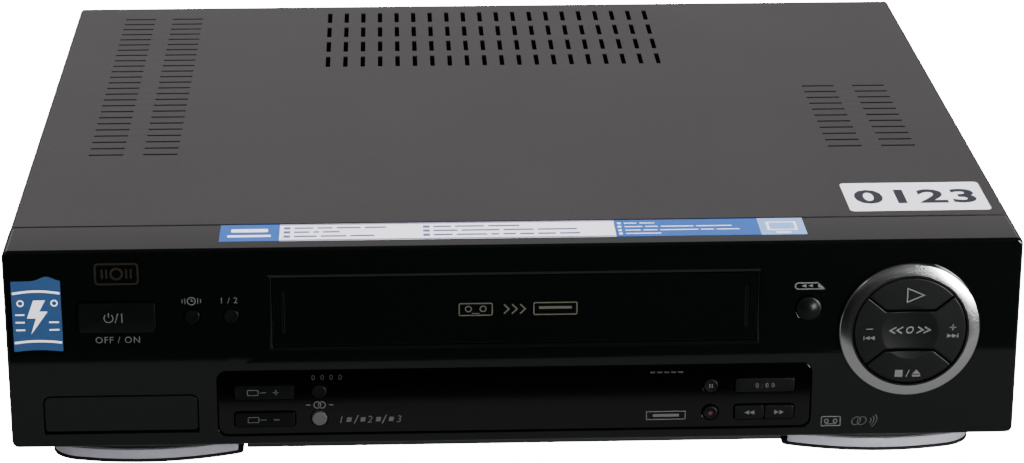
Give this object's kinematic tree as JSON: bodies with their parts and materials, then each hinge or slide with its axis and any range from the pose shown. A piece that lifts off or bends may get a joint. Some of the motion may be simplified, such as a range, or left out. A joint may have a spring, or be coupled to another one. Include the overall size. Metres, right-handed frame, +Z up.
{
  "type": "video cassette recorder",
  "caption": "Front-loading VHS recorder: bent steel cover, black front with sprung cassette door, display window, buttons, jog ring and jack flap, and the tape deck inside.",
  "frame": {"origin": "middle of the base, on the surface that the feet stand on, halfway between the jog ring's front and the aerial sockets' rear", "axes": "+X to the viewer's right along the front, +Y from the front to the rear, +Z up"},
  "size_m": [0.4, 0.3475, 0.094],
  "materials": {
    "cover_paint": "satin grey paint",
    "black_gloss": "polished black",
    "black_plastic": "fine texture",
    "dark_button": "satin black",
    "grey_button": "satin grey",
    "ring_metal": "satin turned",
    "silver_trim": "silver paint",
    "smoked_window": "polished smoked acrylic",
    "tube_glass": "sealed display tube, taken as solid",
    "board_green": "lacquered circuit board",
    "board_tan": "bare circuit board",
    "sheet_steel": "zinc plated",
    "bright_metal": "polished",
    "ground_steel": "ground",
    "white_plastic": "moulded",
    "rubber": "soft black",
    "head_shell": "plated"
  },
  "bodies": {
    "chassis": {"top_cover": "cover_paint", "front_panel": "black_gloss", "base_frame": "black_plastic", "rear_panel": "black_plastic", "display_window": "smoked_window", "door_spring": "sheet_steel", "jog_ring": "ring_metal", "front_jack_block": "black_plastic", "left_front_foot": "rubber", "right_front_foot": "rubber", "left_foot_trim": "silver_trim", "right_foot_trim": "silver_trim", "left_rear_foot": "rubber", "right_rear_foot": "rubber", "front_board": "board_tan", "display_tube": "tube_glass", "main_board": "board_green", "power_supply": "board_tan", "tuner_module": "bright_metal", "scart_socket_upper": "black_plastic", "scart_socket_lower": "black_plastic", "audio_out_jacks": "bright_metal", "mains_inlet": "black_plastic", "deck_plate": "sheet_steel", "lower_drum": "bright_metal", "capstan_motor": "board_green", "drive_belt": "rubber", "erase_head": "head_shell", "audio_head": "head_shell", "carriage_frame": "sheet_steel", "loading_motor": "sheet_steel"},
    "play_button": {"play_button": "dark_button"},
    "stop_eject_button": {"stop_eject_button": "dark_button"},
    "standby_button": {"standby_button": "dark_button"},
    "timer_button": {"timer_button": "dark_button"},
    "tape_speed_button": {"tape_speed_button": "dark_button"},
    "review_button": {"review_button": "dark_button"},
    "channel_up_button": {"channel_up_button": "dark_button"},
    "channel_down_button": {"channel_down_button": "dark_button"},
    "counter_reset_button": {"counter_reset_button": "dark_button"},
    "record_link_button": {"record_link_button": "grey_button"},
    "pause_button": {"pause_button": "dark_button"},
    "record_button": {"record_button": "dark_button"},
    "display_button": {"display_button": "dark_button"},
    "rewind_button": {"rewind_button": "dark_button"},
    "fast_forward_button": {"fast_forward_button": "dark_button"},
    "push_jog_rocker": {"push_jog_rocker": "dark_button"},
    "cassette_door": {"cassette_door": "black_gloss"},
    "jack_cover": {"jack_cover": "black_gloss"},
    "carriage_slider": {"carriage_slider": "sheet_steel"},
    "cassette_holder": {"cassette_holder": "sheet_steel"},
    "head_drum": {"head_drum": "bright_metal"},
    "capstan": {"capstan": "ground_steel"},
    "supply_reel_table": {"supply_reel_table": "white_plastic"},
    "takeup_reel_table": {"takeup_reel_table": "white_plastic"},
    "reel_idler": {"reel_idler": "white_plastic"},
    "pinch_arm": {"pinch_arm": "sheet_steel"},
    "pinch_roller": {"pinch_roller": "rubber"},
    "supply_guide": {"supply_guide": "ground_steel"},
    "takeup_guide": {"takeup_guide": "ground_steel"}
  },
  "joints": [
    {"name": "play_press", "type": "slide", "parent": "chassis", "child": "play_button", "axis": [0, 1, 0], "range_m": [0, 0.0012], "stiffness_N_per_m": 200, "springref_m": -0.0006},
    {"name": "stop_eject_press", "type": "slide", "parent": "chassis", "child": "stop_eject_button", "axis": [0, 1, 0], "range_m": [0, 0.0012], "stiffness_N_per_m": 200, "springref_m": -0.0006},
    {"name": "standby_press", "type": "slide", "parent": "chassis", "child": "standby_button", "axis": [0, 1, 0], "range_m": [0, 0.0012], "stiffness_N_per_m": 200, "springref_m": -0.0006},
    {"name": "timer_press", "type": "slide", "parent": "chassis", "child": "timer_button", "axis": [0, 1, 0], "range_m": [0, 0.0012], "stiffness_N_per_m": 40, "springref_m": -0.0006},
    {"name": "tape_speed_press", "type": "slide", "parent": "chassis", "child": "tape_speed_button", "axis": [0, 1, 0], "range_m": [0, 0.0012], "stiffness_N_per_m": 40, "springref_m": -0.0006},
    {"name": "review_press", "type": "slide", "parent": "chassis", "child": "review_button", "axis": [0, 1, 0], "range_m": [0, 0.0012], "stiffness_N_per_m": 80, "springref_m": -0.0006},
    {"name": "channel_up_press", "type": "slide", "parent": "chassis", "child": "channel_up_button", "axis": [0, 1, 0], "range_m": [0, 0.0012], "stiffness_N_per_m": 100, "springref_m": -0.0006},
    {"name": "channel_down_press", "type": "slide", "parent": "chassis", "child": "channel_down_button", "axis": [0, 1, 0], "range_m": [0, 0.0012], "stiffness_N_per_m": 100, "springref_m": -0.0006},
    {"name": "counter_reset_press", "type": "slide", "parent": "chassis", "child": "counter_reset_button", "axis": [0, 1, 0], "range_m": [0, 0.0012], "stiffness_N_per_m": 40, "springref_m": -0.0006},
    {"name": "record_link_press", "type": "slide", "parent": "chassis", "child": "record_link_button", "axis": [0, 1, 0], "range_m": [0, 0.0012], "stiffness_N_per_m": 40, "springref_m": -0.0006},
    {"name": "pause_press", "type": "slide", "parent": "chassis", "child": "pause_button", "axis": [0, 1, 0], "range_m": [0, 0.0012], "stiffness_N_per_m": 40, "springref_m": -0.0006},
    {"name": "record_press", "type": "slide", "parent": "chassis", "child": "record_button", "axis": [0, 1, 0], "range_m": [0, 0.0012], "stiffness_N_per_m": 40, "springref_m": -0.0006},
    {"name": "display_press", "type": "slide", "parent": "chassis", "child": "display_button", "axis": [0, 1, 0], "range_m": [0, 0.0012], "stiffness_N_per_m": 100, "springref_m": -0.0006},
    {"name": "rewind_press", "type": "slide", "parent": "chassis", "child": "rewind_button", "axis": [0, 1, 0], "range_m": [0, 0.0012], "stiffness_N_per_m": 60, "springref_m": -0.0006},
    {"name": "fast_forward_press", "type": "slide", "parent": "chassis", "child": "fast_forward_button", "axis": [0, 1, 0], "range_m": [0, 0.0012], "stiffness_N_per_m": 60, "springref_m": -0.0006},
    {"name": "jog_rock", "type": "hinge", "parent": "chassis", "child": "push_jog_rocker", "pos_m": [0.1562, -0.167, 0.0563], "axis": [0, 0, 1], "range_deg": [-3, 3], "stiffness_Nm_per_rad": 0.3},
    {"name": "door_swing", "type": "hinge", "parent": "chassis", "child": "cassette_door", "pos_m": [0, -0.1624, 0.08395], "axis": [1, 0, 0], "range_deg": [0, 90], "stiffness_Nm_per_rad": 0.01, "springref_deg": -17.19},
    {"name": "jack_cover_swing", "type": "hinge", "parent": "chassis", "child": "jack_cover", "pos_m": [-0.1562, -0.1688, 0.0178], "axis": [1, 0, 0], "range_deg": [0, 90]},
    {"name": "carriage_load", "type": "slide", "parent": "chassis", "child": "carriage_slider", "axis": [0, 1, 0], "range_m": [0, 0.068]},
    {"name": "carriage_lower", "type": "slide", "parent": "carriage_slider", "child": "cassette_holder", "axis": [0, 0, -1], "range_m": [0, 0.02]},
    {"name": "head_drum_spin", "type": "hinge", "parent": "chassis", "child": "head_drum", "pos_m": [0, 0.078, 0.0302], "axis": [0, -0.1045, 0.9945], "continuous": true},
    {"name": "capstan_spin", "type": "hinge", "parent": "chassis", "child": "capstan", "pos_m": [0.07, 0.044, 0.03], "axis": [0, 0, 1], "continuous": true},
    {"name": "supply_reel_spin", "type": "hinge", "parent": "chassis", "child": "supply_reel_table", "pos_m": [-0.04625, -0.015, 0.03], "axis": [0, 0, 1], "continuous": true},
    {"name": "takeup_reel_spin", "type": "hinge", "parent": "chassis", "child": "takeup_reel_table", "pos_m": [0.04625, -0.015, 0.03], "axis": [0, 0, 1], "continuous": true},
    {"name": "idler_spin", "type": "hinge", "parent": "chassis", "child": "reel_idler", "pos_m": [0, -0.015, 0.03], "axis": [0, 0, 1], "continuous": true},
    {"name": "pinch_swing", "type": "hinge", "parent": "chassis", "child": "pinch_arm", "pos_m": [0.086, 0.049, 0.03], "axis": [0, 0, -1], "range_deg": [0, 14]},
    {"name": "pinch_roller_spin", "type": "hinge", "parent": "pinch_arm", "child": "pinch_roller", "pos_m": [0.076, 0.0317, 0.038], "axis": [0, 0, 1], "continuous": true},
    {"name": "supply_guide_travel", "type": "slide", "parent": "chassis", "child": "supply_guide", "axis": [-0.3432, 0.9393, 0], "range_m": [0, 0.0553]},
    {"name": "takeup_guide_travel", "type": "slide", "parent": "chassis", "child": "takeup_guide", "axis": [0.3432, 0.9393, 0], "range_m": [0, 0.0554]}
  ],
  "couplings": [
    {"joint": "idler_spin", "follows": "capstan_spin", "ratio": 0.58333},
    {"joint": "takeup_guide_travel", "follows": "supply_guide_travel", "ratio": 1}
  ]
}
